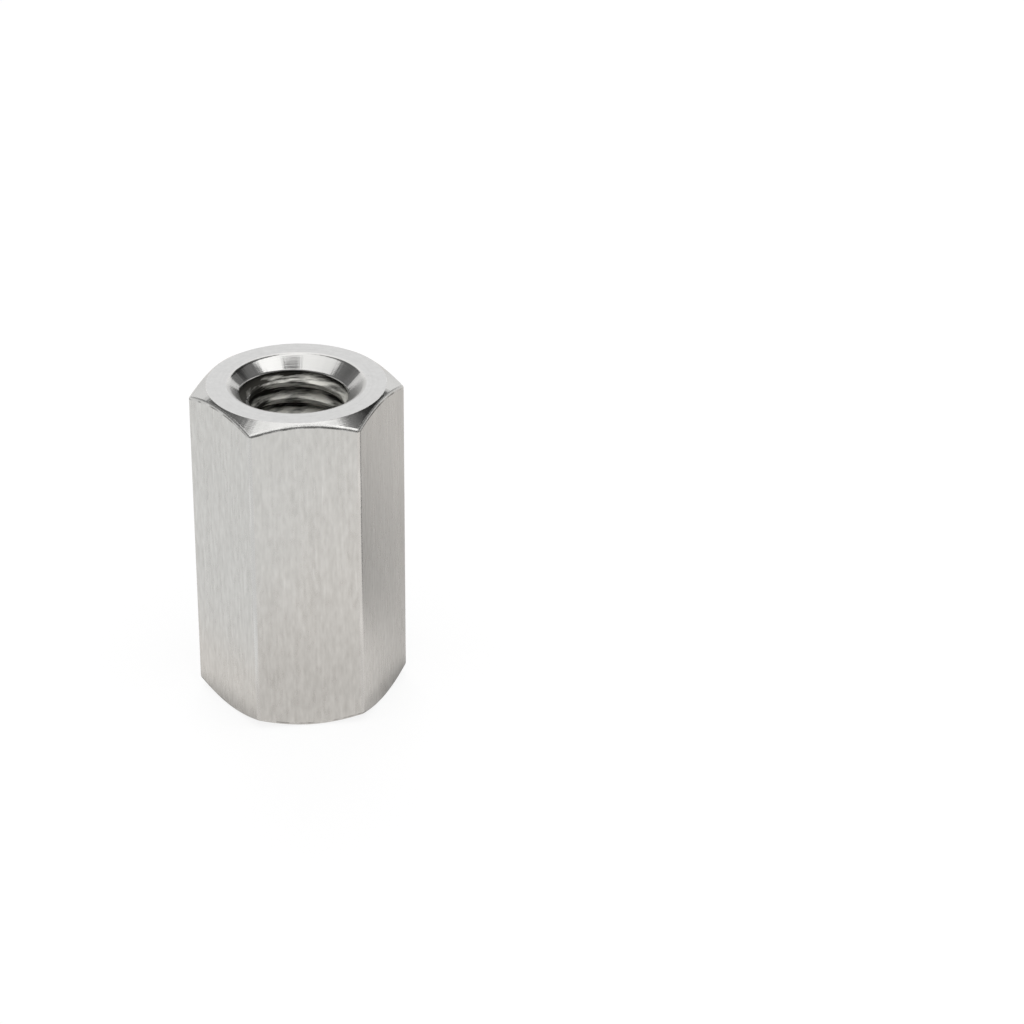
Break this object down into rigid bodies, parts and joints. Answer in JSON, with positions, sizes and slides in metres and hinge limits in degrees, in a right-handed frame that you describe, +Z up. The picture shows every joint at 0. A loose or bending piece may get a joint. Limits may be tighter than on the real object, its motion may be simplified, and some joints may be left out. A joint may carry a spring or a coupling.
{
  "type": "coupling nut",
  "caption": "Long hexagonal coupling nut with turned chamfered ends and a countersunk through thread, for joining two threaded rods end to end.",
  "frame": {"origin": "middle of the lower end face, on the axis of the thread", "axes": "+Z up along the axis of the thread, +X through a corner of the hexagon, +Y square to a flat"},
  "size_m": [0.015, 0.013, 0.024],
  "materials": {
    "stainless_steel": "bare stainless steel: drawn flats with fine lines along the bar, turned end faces, chamfers and countersinks, cut thread"
  },
  "bodies": {
    "root": {"coupling_nut": "stainless_steel"}
  },
  "joints": []
}
